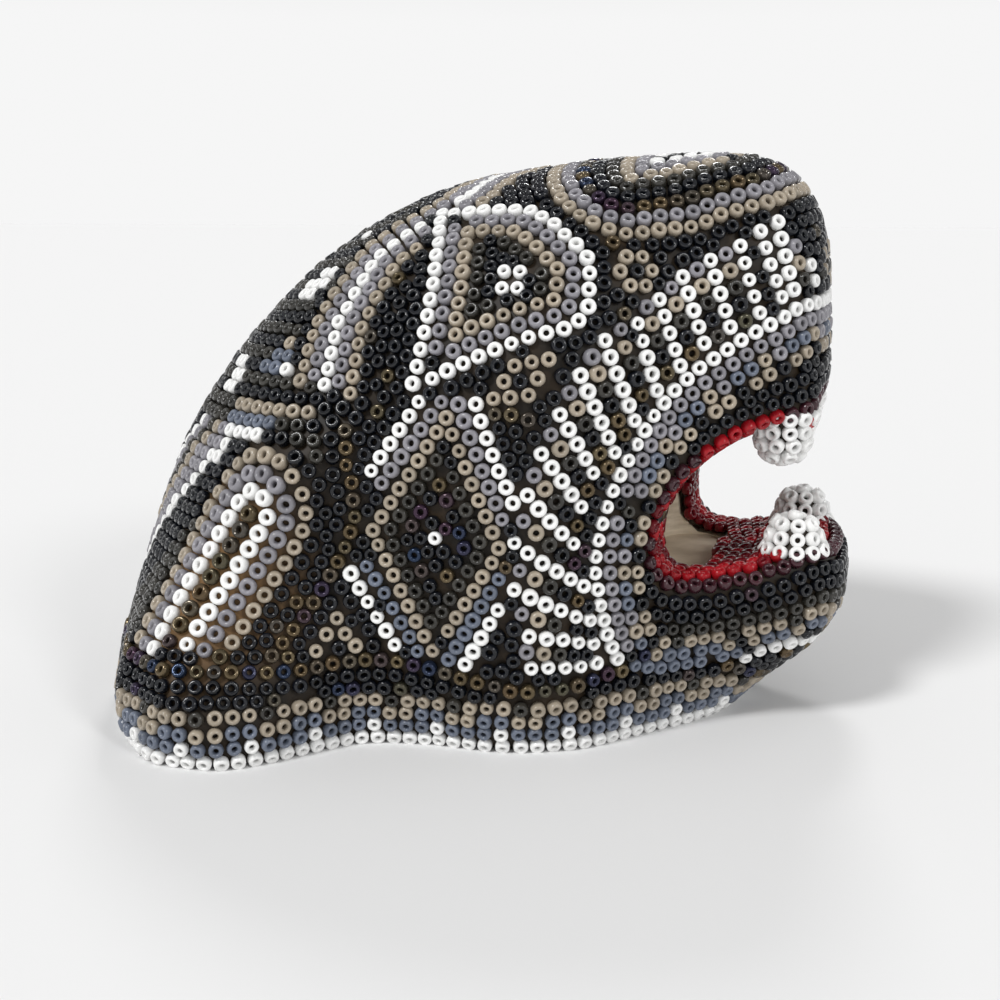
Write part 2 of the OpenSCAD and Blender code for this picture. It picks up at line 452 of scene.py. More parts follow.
# Outlines and lines of the design, (x, z) in the side view unless three numbers.
EYE = [
    (-1.8, 66.7), (-0.6, 63.6), (0.1, 58.3), (0, 53.6), (-0.5, 49.4), (-1.3, 45),
    (1.5, 46.8), (5.1, 48.7), (9.3, 50.5), (13.5, 52.1), (18.5, 53.2), (20, 55.2),
    (19.5, 61), (17.5, 63), (15.9, 64.2), (14.2, 65.6), (10.7, 67.1), (5.5, 67.1),
]
EYE_PUPIL = (10.2, 58.8)
DIAMOND = [(3.5, 42.1), (-5.9, 27.4), (1.7, 11.9), (10.4, 26.1)]
DIAMOND_CENTRE = (2.1, 27)
DIAMOND_GREYS = [
    [(2.8, 44), (-5, 33.1)], [(5, 43.8), (11.4, 28.1)],
    [(-6.6, 23.2), (0.4, 11.1)], [(11.4, 24.2), (2.8, 9.9)],
]
DIAMOND_WHITES = [
    [(-0.2, 43.9), (-6, 35.1)], [(7.2, 43.9), (10.2, 36), (12.6, 30.6)],
    [(-8.6, 22), (-2.7, 11.9)], [(10.2, 18.3), (5.1, 9.6)],
]
WHITE_COLUMN = [
    (6.5, 0, 72.6), (3.4, -6, 71.6), (1.9, -10.2, 70.4), (1.0, -14.7, 68.8),
    (-2.5, -18.1, 66.2), (-9.0, -21.0, 61.5), (-10.5, -24.0, 58), (-12.8, -27, 53),
    (-13.0, -29.6, 48.0), (-13.2, -31.3, 44.8),
]
OVAL = [
    (11.5, 0, 73.1), (11.4, -8, 72.4), (12.2, -14, 70.8), (14.8, -19.2, 68.1),
    (18.3, -21.6, 65.9), (21.2, -21.6, 64.7), (24.0, -20.9, 64.1), (27.7, -18.9, 64.6),
    (31.4, -17.2, 64.9), (34.2, -15.6, 66.5), (37.1, -13.9, 67.2), (40.2, -12.0, 68.1),
    (42.8, -8.7, 69.6), (44.2, -4, 70.4), (44.4, 0, 70.6),
]
MOUTH_RING = [
    (47.5, 0, 55.6), (47.1, -6.0, 55.3), (45.2, -11.6, 54.9), (43.9, -13.1, 54.4),
    (41.6, -15.4, 52.9), (38.5, -17.1, 51.5), (35.5, -18.8, 49.4), (32.3, -20.5, 47.2),
    (29.5, -22.0, 44.5), (27.2, -23.9, 41.3), (25.3, -25.6, 37.6), (23.6, -27.1, 33.8),
    (22.4, -27.9, 29.8), (21.6, -28.4, 25.6), (21.6, -28.5, 21.7), (22.2, -27.9, 17.7),
    (22.9, -26.7, 13.7), (24.0, -25.3, 10.5),
]
NOSE_ROWS = 4  # rows on each side of the middle one
# Each whisker runs from its tip to its root on the mouth ring. The row between two of
# them has graded colours, from the tips on.
GRADED = ["grey", "beige", "smoky", "black", "metal", "metal"]
WHISKER_TIPS = [
    (45.6, 59.6), (41.2, 65.1), (39.3, 63.7),
    (36.8, 62.3), (33.4, 60.7), (30.3, 58.6), (27.6, 56.4), (25.3, 54.1), (22.1, 51.2),
    (19.4, 47.8), (17.4, 42.7), (15.5, 37.9), (13.7, 32.9), (12.8, 26.4), (12.9, 20.6),
    (13.3, 15.1), (14.2, 10.6),
]
WHISKER_ROOTS = [
    (46.6, 56.0), (44.2, 55), (42.9, 54.1),
    (40.2, 52.2), (36.8, 50.5), (33.8, 48.6), (31.0, 45.9), (28.4, 43.0), (26.2, 39.5),
    (24.2, 35.8), (23.0, 31.7), (22.0, 27.8), (21.5, 23.6), (21.9, 19.8), (22.5, 15.7),
    (22.9, 12.9), (23.3, 10.6),
]
UPPER_LIP = [
    (47.8, 0, 42.6), (47.1, -8.7, 42.3), (44.6, -12.9, 41.5), (42.2, -15, 40),
    (37.9, -17.5, 38.2), (34, -19.3, 35.9), (31.7, -20.4, 33.7), (29.1, -22, 31),
    (28.1, -22.8, 28), (27.8, -23.1, 25.4),
]
LOWER_LIP = [
    (50.6, 0, 23.5), (49.7, -9.6, 23.3), (47.3, -13, 22.8), (43.5, -15.7, 22.6),
    (38.5, -17.8, 21.5), (33.5, -19.7, 20.6), (29.2, -22.3, 21), (27.8, -23.1, 23),
]
# The white row under the chin, and the wavy row along the top of the base band.
CHIN = [
    (48.4, 0, 9.6), (47.7, -7.7, 9.6), (45.8, -10.7, 9.8), (43.3, -11.9, 9.5),
    (40.8, -12.7, 8.7), (39.0, -13.0, 7.9),
]
BAND_TOP = [
    (41.6, 0, 3.6), (41.2, -7.7, 4.2), (38.9, -11.4, 5.8), (36.1, -14.2, 7.2),
    (31.0, -18.6, 9.0), (26.6, -22.3, 9.0), (22.9, -26.1, 8.8), (19.2, -29.4, 7.7),
    (15.7, -31.2, 7.5), (12.0, -32.4, 7.4), (9.6, -32.9, 7.9), (5.3, -33.5, 8.9),
    (1.1, -33.6, 9.8), (-3.6, -33.9, 10.6), (-8.0, -34.9, 10.7), (-11.2, -36.5, 10.4),
    (-14.3, -38.2, 10.0), (-17.2, -40.1, 10.1), (-20.9, -42.2, 10.5),
    (-25.2, -43.7, 10.7), (-30.0, -44.5, 10.8), (-34.1, -41.7, 10.6),
    (-40.0, -36.5, 10.4), (-45.5, -28.0, 10.4), (-49.0, -15.0, 10.4), (-50.5, 0, 10.4),
]
EAR_AXIS = [(-32.4, 10.7), (-20.8, 30.4)]
EAR_PITCH = 2.42  # the beads on the ears are larger
EAR_FOOT = 12 + FOOT  # where the loops of the ears end
TEMPLE_LINE = [
    (-9.4, 40.1), (-8.7, 35.8), (-8.0, 33.6), (-7.8, 29.1), (-9.5, 24.7),
    (-11.1, 21.9), (-13.0, 18.7), (-14.5, 16.1), (-17.6, 11.9),
]
SMALL_TRIANGLE = (12.6, 47)
TRIANGLE_BEADS = [
    (-3.2, -2.4), (-1.1, -2.2), (1.1, -1.9), (-2, -0.3), (2.1, 0.1), (-0.8, 1.6),
    (1.3, 2.1), (3.3, 2.4),
]
HEXAGON = (25.0, 59.6)
CHEVRON = [(-12.6, 12.2), (-11.5, 14.3), (-10.3, 16.3), (-9.2, 14.3), (-8.1, 12.7)]
# The height of the line between poll and nape, and the nape's stripes from the white
# one to the middle.
NAPE_TOP = 41.6 + FOOT
POLL_ROWS, NAPE_ROWS = 19, 19
STRIPES = [
    "grey", "grey", "beige", "smoky", "grey", "white", "black", "black", "smoky",
    "beige", "grey", "black",
]


def lay_pupils(side):
    """The white specks at the middle of the eyes and of the cheeks."""
    half = PITCH / 2
    x, z = EYE_PUPIL
    for dx, dz in ((-half, -half), (half, -half), (-half, half), (half, half)):
        beads.add(*spot_from_side(x + dx, z + dz, side), "white", 0.85)
    beads.add(*spot_from_side(*DIAMOND_CENTRE, side), "white")


def lay_eye(side):
    path = from_side(EYE, side, closed=True)
    colours = ["white", "grey", "beige", "smoky", "black", "black"]
    rings(path, colours, sign=inner_sign(path, side))


def lay_cheek(side):
    path = from_side(DIAMOND, side, closed=True)
    row(path, ["beige"], closed=True, gap=0.8)
    for k, (inner, outer) in enumerate(zip(DIAMOND_GREYS, DIAMOND_WHITES)):
        row(from_side(inner, side), ["grey" if k < 2 else "slate"], gap=0.8)
        row(from_side(outer, side), ["white"], gap=0.8)
    within = ["smoky", ["metal", "black", "metal"], "black", "black", "black"]
    rings(path, within, first=1, sign=inner_sign(path, side))


def lay_small_marks(side):
    """The hexagon before the eye, the triangle under it, and the chevron by the ear."""
    p, n = spot_from_side(*HEXAGON, side)
    level = n.cross(Vector((0, 0, 1))).normalized()
    for k in range(6):
        way = level * math.cos(k * math.pi / 3) + level.cross(n) * math.sin(k * math.pi / 3)
        beads.add(*snap(walk(p, way, PITCH * 0.97)), "beige", 0.75)
    x, z = SMALL_TRIANGLE
    for dx, dz in TRIANGLE_BEADS:
        beads.add(*spot_from_side(x + dx, z + dz, side), "beige", 0.85)
    for spot in CHEVRON:
        beads.add(*spot_from_side(*spot, side), "beige", 0.7)


def lay_ear(side):
    """A long loop of white round a metal row, with grey and beige loops outside it.
    The beads here are large."""
    path = from_side(EAR_AXIS, side)
    first = len(beads.places)
    row(path[10:], ["metal"], gap=GAP, pitch=EAR_PITCH)
    for k, colour in enumerate(["white", "grey", "beige"], start=1):
        line = [p for p in loop(path, k * EAR_PITCH * 0.94) if p.z > EAR_FOOT]
        row(line, [colour], gap=GAP, pitch=EAR_PITCH)
    beads.large.update(range(first, len(beads.places)))


def lay_temple(side):
    """White column over the head, with grey and beige on both sides of it."""
    path = through(WHITE_COLUMN, side)
    front = 1 if side == RIGHT else -1
    row(path, ["white"])
    rings(path, ["grey", "beige"], closed=False, first=1, sign=front)
    rings(path, ["grey", "beige"], closed=False, first=1, sign=-front)
    row(from_side(TEMPLE_LINE, side), ["metal"])


def further(root, tip):
    """A point half a bead beyond the tip of a whisker."""
    stretch = 1 + 0.5 * PITCH / math.dist(root, tip)
    return tuple(a + (b - a) * stretch for a, b in zip(root, tip))


def lay_whiskers(side):
    """White rows from the ring out to the tips, and a graded row between each two."""
    pairs = list(zip(WHISKER_TIPS, WHISKER_ROOTS))
    for tip, root in pairs:
        row(from_side([root, further(root, tip)], side), ["white"], gap=GAP)
    for (tip_a, root_a), (tip_b, root_b) in zip(pairs, pairs[1:]):
        tip = [(a + b) / 2 for a, b in zip(tip_a, tip_b)]
        root = [(a + b) / 2 for a, b in zip(root_a, root_b)]
        row(from_side([tip, root], side), GRADED, gap=0.8)


def lay_nose():
    """The whiskers' rows carried on round the front of the nose."""
    ring_top, step = MOUTH_RING[0][2], 0.4
    for k in range(-NOSE_ROWS, NOSE_ROWS + 1):
        y = k * PITCH
        tall = 6.5 - 0.4 * abs(k)
        path = []
        for i in range(int(tall / step) + 1):
            z = ring_top + FOOT + tall - step * i
            hit = cover.ray_cast(Vector((90, y, z)), Vector((-1, 0, 0)))
            if hit[0]:
                path.append(snap(hit[0])[0])
        light = "white" if abs(k) > 2 else "beige"
        row(path, ["black", "smoky"] if k % 2 else [light], gap=GAP)


def lay_ring():
    row(both_ways(MOUTH_RING), ["white"], gap=GAP)


def lip_colour(away):
    """The edge of the upper lip is red between the fangs and the corners."""
    return "red" if 7.5 < away < 13 else "garnet"


def lay_mouth():
    """Rows between the mouth ring and the lips, and the red edge inside them."""
    row(both_ways(CHIN), ["white"], gap=GAP)
    ring, upper, lower = (both_ways(p) for p in (MOUTH_RING, UPPER_LIP, LOWER_LIP))
    down = downwards(ring)
    greys = ["grey", ["slate", "beige", "grey", "slate"], ["beige", "beige", "black"]]
    rings(ring, greys, closed=False, first=1, sign=down)
    above = [lip_colour, "black", "black", "black"]
    rings(upper, above, closed=False, sign=-downwards(upper))
    # Under the upper lip the second row is the red glass darkened, painted shade deeper in the
    # mouth.
    rings(upper, ["red", "ruby"], closed=False, first=1, sign=downwards(upper))
    down = downwards(lower)
    scallops = ["beige", "beige", "beige", "smoky"]
    below = ["garnet", "black", "black", "smoky", scallops, ["beige", "slate", "slate"], "slate"]
    rings(lower, below, closed=False, sign=down)
    # Over the lower lip the third row is the red glass darkened, painted shade deeper in the
    # mouth.
    rings(lower, ["red", "red", "ruby"], closed=False, first=1, sign=-down)


def downwards(path):
    """Which way over the skin leads down from the middle of a path, 1 to its left."""
    middle = len(path) // 2
    normal = snap(path[middle])[1]
    along = (path[middle + 3] - path[middle - 3]).normalized()
    return 1 if normal.cross(along).z < 0 else -1


def ringed(half):
    """A closed path and the sign that leads inwards, from one half of it."""
    points = [Vector((x, y, z + FOOT)) for x, y, z in half]
    whole = points + [Vector((p.x, -p.y, p.z)) for p in reversed(points[1:-1])]
    path = [snap(p)[0] for p in dense(whole, closed=True)]
    area = sum(a.x * b.y - b.x * a.y for a, b in zip(path, path[1:] + path[:1]))
    return path, 1 if area > 0 else -1


def lay_muzzle():
    """Rings round the top of the muzzle."""
    path, inwards = ringed(OVAL)
    colours = [
        "beige", "grey", "metal", "black", "smoky", "beige", "grey",
        ["white", "white", "black"], "black", "black",
    ]
    rings(path, colours, sign=inwards)


def base_outline():
    """The lowest line of the skin all round, a little above its edge."""
    path = []
    for i in range(720):
        a = 2 * math.pi * i / 720
        out = Vector((math.cos(a), math.sin(a), 0))
        start = Vector((AXIS_X, 0, EDGE_ROW))
        hit = skin_tree.ray_cast(start + out * 120, -out)
        if hit[0]:
            path.append(hit[0])
    return path


def lay_base_band():
    """The foot of the band round the base: a white edge, then scallops of slate and
    beige."""
    path = base_outline()
    colours = [
        "white",
        ["white", "slate", "slate", "slate"],
        ["slate", "slate", "beige", "beige"],
        ["beige", "beige", "smoky", "beige"],
    ]
    p, n = snap(path[0])
    rings(path, colours, sign=1 if n.cross(path[3] - path[0]).z > 0 else -1)


def lay_band_top():
    """A wavy row of metal, with black under it."""
    path, inwards = ringed(BAND_TOP)
    rings(path, ["metal", "black"], sign=-inwards)


BACK_REACH = 2.2  # level rows start and end at this angle from straight back


def level_line(z):
    """The line round the back of the head at a height, from one side to the other."""
    path = []
    for i in range(-200, 201):
        a = BACK_REACH * i / 200
        out = Vector((-math.cos(a), math.sin(a), 0))
        hit = skin_tree.ray_cast(Vector((AXIS_X, 0, z)) + out * 90, -out)
        if hit[0]:
            path.append(hit[0])
    return path


def on_back(path, fields):
    """The stretch of a path over some bead fields, with the middle plane in it."""
    middle = min(range(len(path)), key=lambda i: abs(path[i].y))
    first = last = middle
    while first > 0 and field_of(path[first], snap(path[first])[1]) in fields:
        first -= 1
    while last < len(path) - 1 and field_of(path[last], snap(path[last])[1]) in fields:
        last += 1
    return path[first : last + 1]


# Each white mark on the poll: its lowest row of three, and how many beads out it is.
POLL_MARKS = [(1, 10.9), (9, 9.7), (1, 3.5), (9, 2.5), (15, 7)]


def poll_colour(k, away):
    """Dark level rows with stepped white marks, k rows up and away beads out."""
    for first, middle in POLL_MARKS:
        if first <= k <= first + 2 and abs(away - middle + 0.5 * (k - first - 1)) < 1.1:
            return "white"
    if k == 3 and 13.2 < away < 15.9:
        return "white" if away > 14.8 else "slate"
    if k == 4 and 13.6 < away < 15.5:
        return "slate"
    if (k == 5 and 13.3 < away < 14.4) or (k == 0 and away > 13.5):
        return "beige"
    return "black" if k % 2 else "smoky"


def nape_colour(k, away):
    """Stepped stripes down to the middle of the back, k rows down and away beads out."""
    if k == 1:
        return "slate" if 13.8 < away < 18.8 else "smoky"
    out = away - 16.8 + 0.62 * (k - 2)  # from the white stripe, which runs inwards
    if abs(out) <= (1.9 if k < 3 else 1.3 if k == 4 else 0.6):
        return "white"
    if out > 0:
        return "black" if out < 4.5 else "smoky"
    return STRIPES[int(-out - 0.9) % len(STRIPES)]


def lay_back():
    """Level rows on the back of the head, up over the poll and down over the nape."""
    line = level_line(NAPE_TOP)
    p, n = snap(line[len(line) // 2])
    up = 1 if n.cross(line[len(line) // 2 + 2] - p).z > 0 else -1
    for k in range(POLL_ROWS):
        path = on_back(offset(line, up * k * ROW), {"nape_beads", "poll_beads"})
        row(path, partial(poll_colour, k), gap=RING_GAP, start=0.5 * (k % 2))
    for k in range(1, NAPE_ROWS + 1):
        path = on_back(offset(line, -up * k * ROW), {"nape_beads", "poll_beads"})
        row(path, partial(nape_colour, k), gap=RING_GAP, start=0.5 * (k % 2))


lay_base_band()
for side in (RIGHT, LEFT):
    lay_pupils(side)
    lay_eye(side)
    lay_ear(side)
lay_muzzle()
lay_ring()
for side in (RIGHT, LEFT):
    lay_whiskers(side)
lay_nose()
lay_mouth()
lay_band_top()
for side in (RIGHT, LEFT):
    lay_cheek(side)
    lay_temple(side)
    lay_small_marks(side)
lay_back()


# ------------------------------------------------------------- filling the rest


def fill_colour(p, n):
    """A colour for a bead between the rows, by the field it is in."""
    field = field_of(p, n)
    if field in LINING:
        # The lining is mostly the red glass darkened, painted shade inside the mouth.
        return "red" if random.random() < 0.35 else "ruby"
    if field in ("nape_beads", "poll_beads"):
        return random.choice(["smoky", "black", "black"])
    return "black" if random.random() < 0.93 else "metal"


def nests(i, j):
    """The two places on the skin that touch both of two neighbouring beads."""
    a, b = beads.places[i], beads.places[j]
    middle, gap = (a + b) / 2, (b - a).length
    rise = math.sqrt(max(PITCH**2 - gap * gap / 4, 0.01))
    side = beads.normals[i].cross(b - a).normalized()
    return [middle + side * rise, middle - side * rise]


def may_fill(p, n):
    """Not under the head's edge, nor in the hollows between large beads."""
    if p.z < EDGE_FILL:
        return False
    if n.z < -0.85 and (p.x < 20 or p.z > 18):  # the chin keeps its beads
        return False
    return not any(i in beads.large for i in beads.near(p, 0.97 * PITCH))


def fill():
    """Packs beads into what the rows left, each against two that are there already."""
    i = 0
    while i < len(beads.places):
        for j in beads.near(beads.places[i], 1.95 * PITCH):
            if j == i:
                continue
            for spot in nests(i, j):
                p, n = snap(spot)
                if may_fill(p, n) and (p - spot).length < 1.2:
                    beads.add(p, n, "fill", 0.92)
        i += 1


def squeeze(gap):
    """Puts a bead in each gap that has room for one once its neighbours give way."""
    tree = bead_tree()
    open_spots = []
    for p in skin_points:
        away = tree.find(p)[2]
        if away > gap * PITCH:
            open_spots.append((away, p))
    for _, p in sorted(open_spots, key=lambda item: -item[0]):
        spot, n = snap(p)
        if may_fill(spot, n):
            beads.add(spot, n, "fill", gap)


def bead_tree():
    tree = KDTree(len(beads.places))
    for i, p in enumerate(beads.places):
        tree.insert(p, i)
    tree.balance()
    return tree


CLOSE = 0.955 * PITCH  # as near as crowded beads lie
SETTLED = EDGE_ROW - 0.04  # the lowest that a bead settles


def settle(rounds):
    """Lets crowded beads push one another apart over the skin. Those in rows hardly
    give way."""
    give = [1.0 if colour == "fill" else 0.1 for colour in beads.colours]
    for _ in range(rounds):
        tree = bead_tree()
        moved = []
        for i, p in enumerate(beads.places):
            push = Vector()
            for q, j, away in tree.find_range(p, CLOSE):
                if j != i and away > 0.01:
                    share = give[i] / (give[i] + give[j])
                    push += (p - q) * ((CLOSE - away) / away * share * 0.6)
            moved.append(push)
        for i, push in enumerate(moved):
            if push.length > 0.02:
                p, n = snap(beads.places[i] + push)
                p.z = max(p.z, SETTLED)
                beads.places[i], beads.normals[i] = p, n
    beads.reindex()


def room(tree, p):
    """How far the nearest neighbour of a bead is."""
    found = tree.find_n(p, 2)
    return found[1][2] if len(found) > 1 else PITCH


def choose_sizes():
    """Gives each bead the size its neighbours leave room for, within limits."""
    tree = bead_tree()
    for i, p in enumerate(beads.places):
        largest = 1.16 if i in beads.large else 1.05
        beads.scales.append(min(largest, max(0.86, room(tree, p) / BEAD_W * 1.01)))


def colour_fill():
    for i, p in enumerate(beads.places):
        if beads.colours[i] == "fill":
            beads.colours[i] = fill_colour(p, beads.normals[i])


fill()
for gap in (0.86, 0.8, 0.76, 0.73, 0.71, 0.69):
    squeeze(gap)
    settle(12)
choose_sizes()
colour_fill()


# ----------------------------------------------------------------- materials


def material(name, colour, vary=0.06, **sockets):
    """A glass whose tone differs a little from bead to bead. The colour is one tone,
    or a list of tones to pick from."""
    made = bpy.data.materials.new(name)
    made.use_nodes = True
    nodes, links = made.node_tree.nodes, made.node_tree.links
    shader = nodes["Principled BSDF"]
    for key, value in sockets.items():
        shader.inputs[key.replace("_", " ")].default_value = value
    island = nodes.new("ShaderNodeNewGeometry")
    ramp = nodes.new("ShaderNodeValToRGB")
    tones = colour if isinstance(colour[0], tuple) else [
        tuple(c * (1 - vary) for c in colour), tuple(c * (1 + vary) for c in colour),
    ]
    while len(ramp.color_ramp.elements) < len(tones):
        ramp.color_ramp.elements.new(0.5)
    for i, tone in enumerate(tones):
        ramp.color_ramp.elements[i].position = i / (len(tones) - 1)
        ramp.color_ramp.elements[i].color = (*tone, 1)
    links.new(island.outputs["Random Per Island"], ramp.inputs["Fac"])
    links.new(ramp.outputs["Color"], shader.inputs["Base Color"])
    return made


GLASS = {
    "white": material("white_glass", (0.84, 0.84, 0.83), 0.03, Roughness=0.16),
    "beige": material("beige_glass", (0.34, 0.29, 0.225), 0.12, Roughness=0.2),
    "grey": material("grey_glass", (0.235, 0.228, 0.25), 0.16, Roughness=0.2),
    "slate": material("slate_glass", (0.125, 0.145, 0.19), 0.15, Roughness=0.2),
    "smoky": material(
        "smoky_glass", (0.028, 0.026, 0.022), 0.3, Roughness=0.1, Specular_IOR_Level=0.5
    ),
    "black": material(
        "black_glass", (0.005, 0.006, 0.009), 0.3, Roughness=0.08, Specular_IOR_Level=0.45
    ),
    "metal": material(
        "metal_glass",
        [(0.11, 0.075, 0.04), (0.13, 0.10, 0.055), (0.07, 0.065, 0.06), (0.10, 0.07, 0.035),
         (0.08, 0.075, 0.05), (0.05, 0.025, 0.045), (0.02, 0.035, 0.07)],
        Roughness=0.12, Metallic=0.6,
    ),
    "red": material(
        "red_glass", (0.33, 0.008, 0.014), 0.15, Roughness=0.14, Specular_IOR_Level=0.3
    ),
    # The red glass darkened: painted shade deeper inside the mouth.
    "ruby": material(
        "ruby_glass", (0.14, 0.006, 0.011), 0.2, Roughness=0.14, Specular_IOR_Level=0.3
    ),
    "garnet": material("garnet_glass", (0.045, 0.012, 0.018), 0.2, Roughness=0.12),
}
COLOURS = list(GLASS)


def grained(name, dark, light, scale, stretch, roughness, bump):
    """A material whose colour and surface follow a stretched noise."""
    made = bpy.data.materials.new(name)
    made.use_nodes = True
    nodes, links = made.node_tree.nodes, made.node_tree.links
    shader = nodes["Principled BSDF"]
    shader.inputs["Roughness"].default_value = roughness
    shader.inputs["Specular IOR Level"].default_value = 0.25
    coords = nodes.new("ShaderNodeTexCoord")
    mapping = nodes.new("ShaderNodeMapping")
    mapping.inputs["Scale"].default_value = stretch
    noise = nodes.new("ShaderNodeTexNoise")
    noise.inputs["Scale"].default_value = scale
    noise.inputs["Detail"].default_value = 6
    ramp = nodes.new("ShaderNodeValToRGB")
    ramp.color_ramp.elements[0].color = (*dark, 1)
    ramp.color_ramp.elements[0].position = 0.35
    ramp.color_ramp.elements[1].color = (*light, 1)
    ramp.color_ramp.elements[1].position = 0.68
    lift = nodes.new("ShaderNodeBump")
    lift.inputs["Strength"].default_value = bump
    lift.inputs["Distance"].default_value = 0.3 * MM
    links.new(coords.outputs["Object"], mapping.inputs["Vector"])
    links.new(mapping.outputs["Vector"], noise.inputs["Vector"])
    links.new(noise.outputs["Fac"], ramp.inputs["Fac"])
    links.new(ramp.outputs["Color"], shader.inputs["Base Color"])
    links.new(noise.outputs["Fac"], lift.inputs["Height"])
    links.new(lift.outputs["Normal"], shader.inputs["Normal"])
    return made


def with_honey(made, tone, middles, reach):
    """Warms a material towards tone within reach of some places."""
    nodes, links = made.node_tree.nodes, made.node_tree.links
    shader, coords = nodes["Principled BSDF"], nodes["Texture Coordinate"]
    colour = nodes["Color Ramp"].outputs["Color"]
    for middle in middles:
        away = nodes.new("ShaderNodeVectorMath")
        away.operation = "DISTANCE"
        away.inputs[1].default_value = middle
        links.new(coords.outputs["Object"], away.inputs[0])
        fall = nodes.new("ShaderNodeMapRange")
        fall.inputs["From Min"].default_value = reach
        fall.inputs["From Max"].default_value = reach * 0.3
        links.new(away.outputs["Value"], fall.inputs["Value"])
        mix = nodes.new("ShaderNodeMix")
        mix.data_type = "RGBA"
        links.new(fall.outputs["Result"], mix.inputs["Factor"])
        links.new(colour, mix.inputs["A"])
        mix.inputs["B"].default_value = (*tone, 1)
        colour = mix.outputs["Result"]
    links.new(colour, shader.inputs["Base Color"])
    return made


# The wax's own colour is the honey tone, which shows round the ears; elsewhere its near-black
# tones are painted shade between the beads.
WAX_WITH_PAINTED_SHADE = with_honey(
    grained("wax", (0.010, 0.007, 0.004), (0.028, 0.017, 0.008), 260, (1, 1, 1), 0.5, 0.5),
    (0.21, 0.12, 0.05),
    [Vector((-26, side * 41, 23)) * MM for side in (LEFT, RIGHT)],
    16 * MM,
)
WOOD = grained(
    "bare_wood", (0.50, 0.42, 0.31), (0.76, 0.67, 0.53), 150, (1, 1, 6), 0.7, 0.5
)


# ------------------------------------------------------------- making the meshes


def bead_template(around=16, profile=9):
    """A seed bead about its own hole, along z, in millimetres."""
    hole, rim, half = HOLE_W / 2, BEAD_W / 2, BEAD_H / 2
    middle, wide = (hole + rim) / 2, (rim - hole) / 2
    section = []
    for k in range(profile):
        a = 2 * math.pi * k / profile
        c, s = math.cos(a), math.sin(a)
        square = 0.8
        section.append((
            middle + wide * math.copysign(abs(c) ** square, c),
            half * math.copysign(abs(s) ** square, s),
        ))
    points = [
        (r * math.cos(t), r * math.sin(t), z)
        for t in (2 * math.pi * i / around for i in range(around))
        for r, z in section
    ]
    faces = [
        (
            i * profile + k,
            (i + 1) % around * profile + k,
            (i + 1) % around * profile + (k + 1) % profile,
            i * profile + (k + 1) % profile,
        )
        for i in range(around)
        for k in range(profile)
    ]
    return np.array(points), np.array(faces)


BEAD_POINTS, BEAD_FACES = bead_template()


def seat(place, normal, scale):
    """Where a bead sits: its turn, its size and its middle, each a little uneven."""
    tilt = Vector([random.gauss(0, 0.055) for _ in range(3)])
    axis = (normal + tilt).normalized()
    turn = axis.to_track_quat("Z", "Y").to_matrix()
    turn = turn @ Matrix.Rotation(random.uniform(0, 6.283), 3, "Z")
    size = scale * random.uniform(0.97, 1.02)
    height = random.uniform(0.92, 1.08)
    stretch = Matrix.Diagonal((size, size, size * height))
    sink = BEAD_UP + random.gauss(0, 0.05)
    return np.array(turn @ stretch), np.array(place + normal * sink)


def beads_mesh(name, items):
    """One mesh of many beads, items being (place, normal, colour, scale)."""
    count, wide = len(items), len(BEAD_POINTS)
    points = np.empty((count, wide, 3))
    for i, (place, normal, _, scale) in enumerate(items):
        turn, middle = seat(place, normal, scale)
        points[i] = BEAD_POINTS @ turn.T + middle
    faces = (BEAD_FACES[None] + (np.arange(count) * wide)[:, None, None]).reshape(-1, 4)
    mesh = bpy.data.meshes.new(name)
    mesh.vertices.add(count * wide)
    mesh.vertices.foreach_set("co", (points.reshape(-1) * MM))
    mesh.loops.add(len(faces) * 4)
    mesh.loops.foreach_set("vertex_index", faces.reshape(-1))
    mesh.polygons.add(len(faces))
    mesh.polygons.foreach_set("loop_start", np.arange(len(faces)) * 4)
    used = [c for c in COLOURS if any(item[2] == c for item in items)]
    for colour in used:
        mesh.materials.append(GLASS[colour])
    slots = np.repeat([used.index(item[2]) for item in items], len(BEAD_FACES))
    mesh.polygons.foreach_set("material_index", slots)
    mesh.update(calc_edges=True)
    mesh.shade_smooth()
    piece = bpy.data.objects.new(name, mesh)
    bpy.context.scene.collection.objects.link(piece)
    return piece


def finish_piece(piece, node):
    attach(piece, "root")
    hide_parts(node)


def share_out():
    """Gives every bead to the CAD bead field that is nearest to it."""
    shared = {name: [] for name in FIELDS}
    for item in zip(beads.places, beads.normals, beads.colours, beads.scales):
        shared[field_of(item[0], item[1])].append(item)
    return shared


def halved(name, items):
    """The pieces of a field by name: one, or its two sides where it has many beads."""
    if len(items) <= LARGEST_PIECE:
        return {name: items}
    return {
        name + "_left": [item for item in items if item[0].y > 0],
        name + "_right": [item for item in items if item[0].y <= 0],
    }


for node, field in share_out().items():
    for name, items in halved(node.replace("_beads", "_glass"), field).items():
        if items:
            finish_piece(beads_mesh(name, items), node)


# Rings of beads on a fang: the first one's height, their spacing, and beads' spacing.
FANG_START, FANG_ROW, FANG_PITCH = 0.55, 1.86, 2.02


def fang_outline(rim, reach):
    """The side of a fang, (radius, 0, height), up from its root and round its tip."""
    tip = rim * 0.8
    top = reach - 0.7 - tip
    arc = [
        (tip * math.cos(a), top + tip * math.sin(a))
        for a in (math.pi / 2 * i / 12 for i in range(13))
    ]
    slope = [(rim, 0.0), (tip, top)]
    return dense([Vector((r, 0, z)) for r, z in slope + arc], 0.1)


